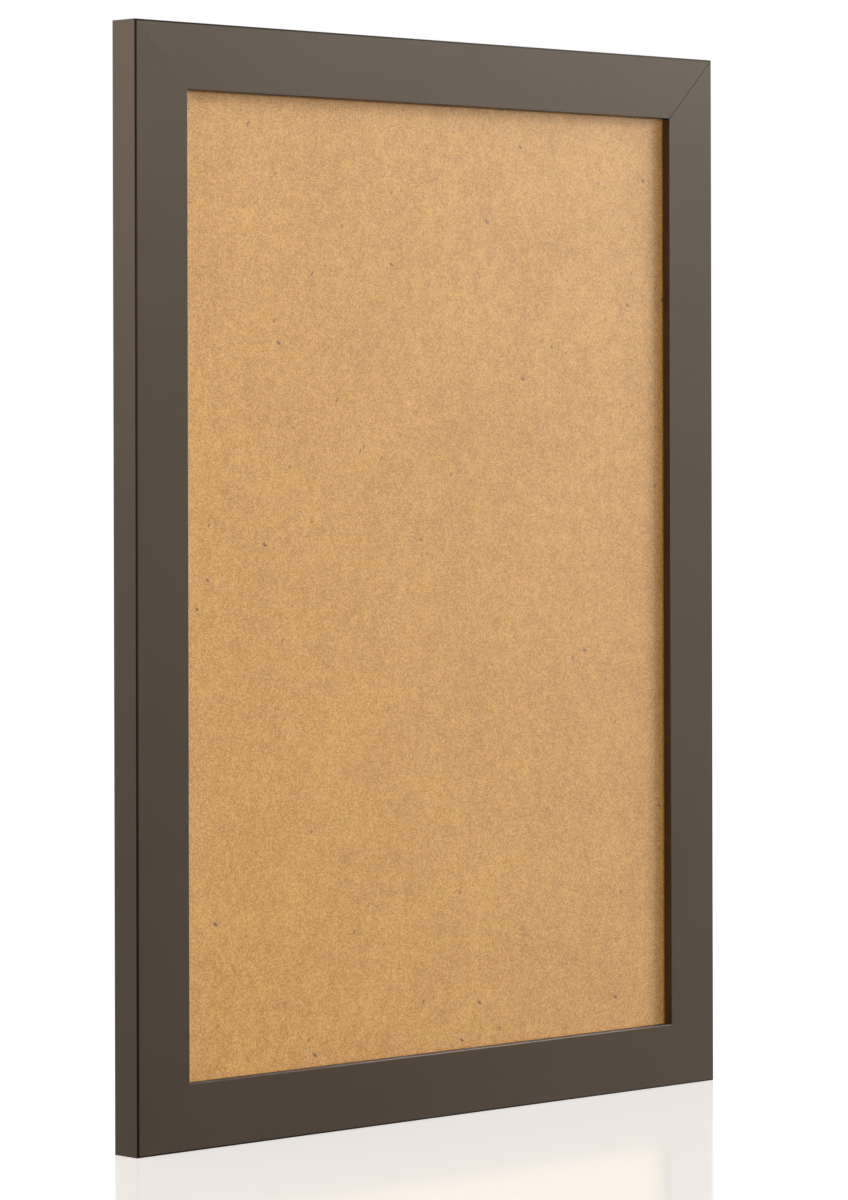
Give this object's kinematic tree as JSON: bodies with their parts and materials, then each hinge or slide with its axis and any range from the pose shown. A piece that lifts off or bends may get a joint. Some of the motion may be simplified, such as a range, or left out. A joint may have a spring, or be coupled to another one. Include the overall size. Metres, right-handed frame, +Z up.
{
  "type": "picture frame",
  "caption": "Flat mitred moulding frame for a standing or hanging sheet, with glazing and a backboard held in by bending steel tabs, and swinging D-rings on strap hangers.",
  "frame": {"origin": "middle of the bottom edge, halfway through the depth of the moulding", "axes": "+X to the right as seen from the front, +Y from the front to the back, +Z up along the frame's height"},
  "size_m": [0.343, 0.0188, 0.466],
  "materials": {
    "moulding": "satin grey-brown foil over fibreboard moulding",
    "glazing": "clear flat glass",
    "backboard": "bare fine fibreboard",
    "nail_steel": "plain strip steel",
    "tab_steel": "soft strip steel",
    "hanger_steel": "bright zinc plating",
    "screw_steel": "bright zinc plating"
  },
  "bodies": {
    "frame": {"bottom_rail": "moulding", "left_stile": "moulding", "top_rail": "moulding", "right_stile": "moulding", "corner_nails_bottom_left": "nail_steel", "corner_nails_top_left": "nail_steel", "corner_nails_top_right": "nail_steel", "corner_nails_bottom_right": "nail_steel", "glazing": "glazing", "backboard": "backboard", "bottom_rail_tab_anchor_1": "tab_steel", "bottom_rail_tab_anchor_2": "tab_steel", "left_stile_tab_anchor_1": "tab_steel", "left_stile_tab_anchor_2": "tab_steel", "left_stile_tab_anchor_3": "tab_steel", "top_rail_tab_anchor_1": "tab_steel", "top_rail_tab_anchor_2": "tab_steel", "right_stile_tab_anchor_1": "tab_steel", "right_stile_tab_anchor_2": "tab_steel", "right_stile_tab_anchor_3": "tab_steel", "left_hanger_strap": "hanger_steel", "left_hanger_screw": "screw_steel", "right_hanger_strap": "hanger_steel", "right_hanger_screw": "screw_steel"},
    "bottom_rail_tab_1": {"bottom_rail_tab_leaf_1": "tab_steel"},
    "bottom_rail_tab_2": {"bottom_rail_tab_leaf_2": "tab_steel"},
    "left_stile_tab_1": {"left_stile_tab_leaf_1": "tab_steel"},
    "left_stile_tab_2": {"left_stile_tab_leaf_2": "tab_steel"},
    "left_stile_tab_3": {"left_stile_tab_leaf_3": "tab_steel"},
    "top_rail_tab_1": {"top_rail_tab_leaf_1": "tab_steel"},
    "top_rail_tab_2": {"top_rail_tab_leaf_2": "tab_steel"},
    "right_stile_tab_1": {"right_stile_tab_leaf_1": "tab_steel"},
    "right_stile_tab_2": {"right_stile_tab_leaf_2": "tab_steel"},
    "right_stile_tab_3": {"right_stile_tab_leaf_3": "tab_steel"},
    "left_ring": {"left_hanger_ring": "hanger_steel"},
    "right_ring": {"right_hanger_ring": "hanger_steel"}
  },
  "joints": [
    {"name": "bottom_rail_tab_1_bend", "type": "hinge", "parent": "frame", "child": "bottom_rail_tab_1", "pos_m": [-0.08073, 0.00135, 0.0225], "axis": [-1, 0, 0], "range_deg": [0, 90]},
    {"name": "bottom_rail_tab_2_bend", "type": "hinge", "parent": "frame", "child": "bottom_rail_tab_2", "pos_m": [0.08073, 0.00135, 0.0225], "axis": [-1, 0, 0], "range_deg": [0, 90]},
    {"name": "left_stile_tab_1_bend", "type": "hinge", "parent": "frame", "child": "left_stile_tab_1", "pos_m": [-0.149, 0.00135, 0.37648], "axis": [0, 0, 1], "range_deg": [0, 90]},
    {"name": "left_stile_tab_2_bend", "type": "hinge", "parent": "frame", "child": "left_stile_tab_2", "pos_m": [-0.149, 0.00135, 0.233], "axis": [0, 0, 1], "range_deg": [0, 90]},
    {"name": "left_stile_tab_3_bend", "type": "hinge", "parent": "frame", "child": "left_stile_tab_3", "pos_m": [-0.149, 0.00135, 0.08952], "axis": [0, 0, 1], "range_deg": [0, 90]},
    {"name": "top_rail_tab_1_bend", "type": "hinge", "parent": "frame", "child": "top_rail_tab_1", "pos_m": [0.08073, 0.00135, 0.4435], "axis": [1, 0, 0], "range_deg": [0, 90]},
    {"name": "top_rail_tab_2_bend", "type": "hinge", "parent": "frame", "child": "top_rail_tab_2", "pos_m": [-0.08073, 0.00135, 0.4435], "axis": [1, 0, 0], "range_deg": [0, 90]},
    {"name": "right_stile_tab_1_bend", "type": "hinge", "parent": "frame", "child": "right_stile_tab_1", "pos_m": [0.149, 0.00135, 0.08952], "axis": [0, 0, -1], "range_deg": [0, 90]},
    {"name": "right_stile_tab_2_bend", "type": "hinge", "parent": "frame", "child": "right_stile_tab_2", "pos_m": [0.149, 0.00135, 0.233], "axis": [0, 0, -1], "range_deg": [0, 90]},
    {"name": "right_stile_tab_3_bend", "type": "hinge", "parent": "frame", "child": "right_stile_tab_3", "pos_m": [0.149, 0.00135, 0.37648], "axis": [0, 0, -1], "range_deg": [0, 90]},
    {"name": "left_ring_swing", "type": "hinge", "parent": "frame", "child": "left_ring", "pos_m": [-0.1515, 0.00938, 0.326], "axis": [0, 0, 1], "range_deg": [-15, 160]},
    {"name": "right_ring_swing", "type": "hinge", "parent": "frame", "child": "right_ring", "pos_m": [0.1515, 0.00938, 0.326], "axis": [0, 0, -1], "range_deg": [-15, 160]}
  ]
}
